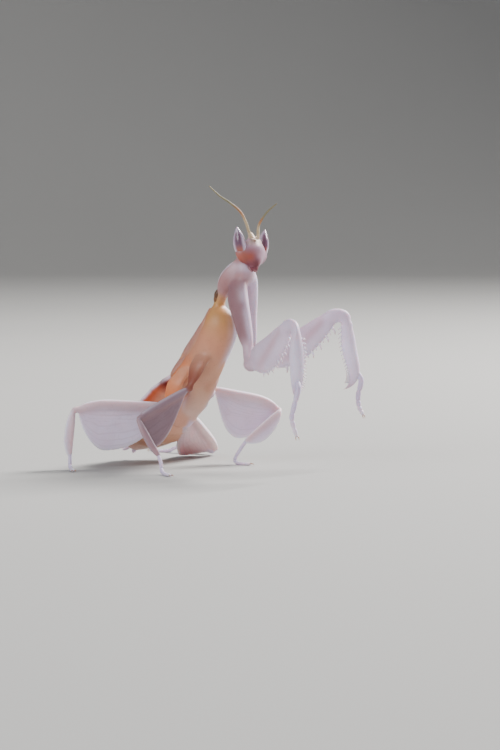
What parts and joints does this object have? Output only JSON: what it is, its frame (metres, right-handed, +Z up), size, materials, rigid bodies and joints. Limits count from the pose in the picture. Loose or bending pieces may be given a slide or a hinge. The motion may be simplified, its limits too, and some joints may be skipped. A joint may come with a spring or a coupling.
{
  "type": "orchid mantis",
  "caption": "Still life-size orchid mantis nymph with raised head, folded spined forelegs, petal-lobed walking legs and a broad leaf-like abdomen.",
  "frame": {"origin": "on the floor under the middle of the insect's overall box", "axes": "+X the way the body leans, towards the far foreleg; -Y its right side, the side seen; +Z up"},
  "size_m": [0.045, 0.0435, 0.042],
  "materials": {
    "petal_white": "waxy, satin",
    "peach_shell": "waxy, satin",
    "amber_shell": "waxy, satin",
    "eye_lilac": "glossy",
    "collar_brown": "satin",
    "antenna_olive": "satin",
    "mouth_brown": "satin"
  },
  "bodies": {
    "root": {"abdomen_1": "amber_shell", "abdomen_2": "amber_shell", "abdomen_3": "amber_shell", "abdomen_4": "amber_shell", "abdomen_5": "amber_shell", "abdomen_6": "amber_shell", "abdomen_7": "amber_shell", "antenna_left": "antenna_olive", "antenna_right": "antenna_olive", "cercus_left": "petal_white", "cercus_right": "petal_white", "collar": "collar_brown", "eye_left": "eye_lilac", "eye_right": "eye_lilac", "fore_coxa_left": "petal_white", "fore_coxa_right": "petal_white", "fore_femur_left": "petal_white", "fore_femur_right": "petal_white", "fore_tarsus_left": "petal_white", "fore_tarsus_right": "petal_white", "fore_tibia_left": "petal_white", "fore_tibia_right": "petal_white", "fore_trochanter_left": "petal_white", "fore_trochanter_right": "petal_white", "head": "petal_white", "hind_left_coxa": "peach_shell", "hind_left_femur": "petal_white", "hind_left_tarsus": "petal_white", "hind_left_tibia": "petal_white", "hind_left_trochanter": "peach_shell", "hind_right_coxa": "peach_shell", "hind_right_femur": "petal_white", "hind_right_tarsus": "petal_white", "hind_right_tibia": "petal_white", "hind_right_trochanter": "peach_shell", "mesothorax": "peach_shell", "metathorax": "amber_shell", "mid_left_coxa": "peach_shell", "mid_left_femur": "petal_white", "mid_left_tarsus": "petal_white", "mid_left_tibia": "petal_white", "mid_left_trochanter": "peach_shell", "mid_right_coxa": "peach_shell", "mid_right_femur": "petal_white", "mid_right_tarsus": "petal_white", "mid_right_tibia": "petal_white", "mid_right_trochanter": "peach_shell", "mouth": "mouth_brown", "neck": "peach_shell", "ocellar_horn": "petal_white", "pronotum": "petal_white", "prothorax": "peach_shell", "wing_pad_fore_left": "petal_white", "wing_pad_fore_right": "petal_white", "wing_pad_hind_left": "petal_white", "wing_pad_hind_right": "petal_white"}
  },
  "joints": []
}
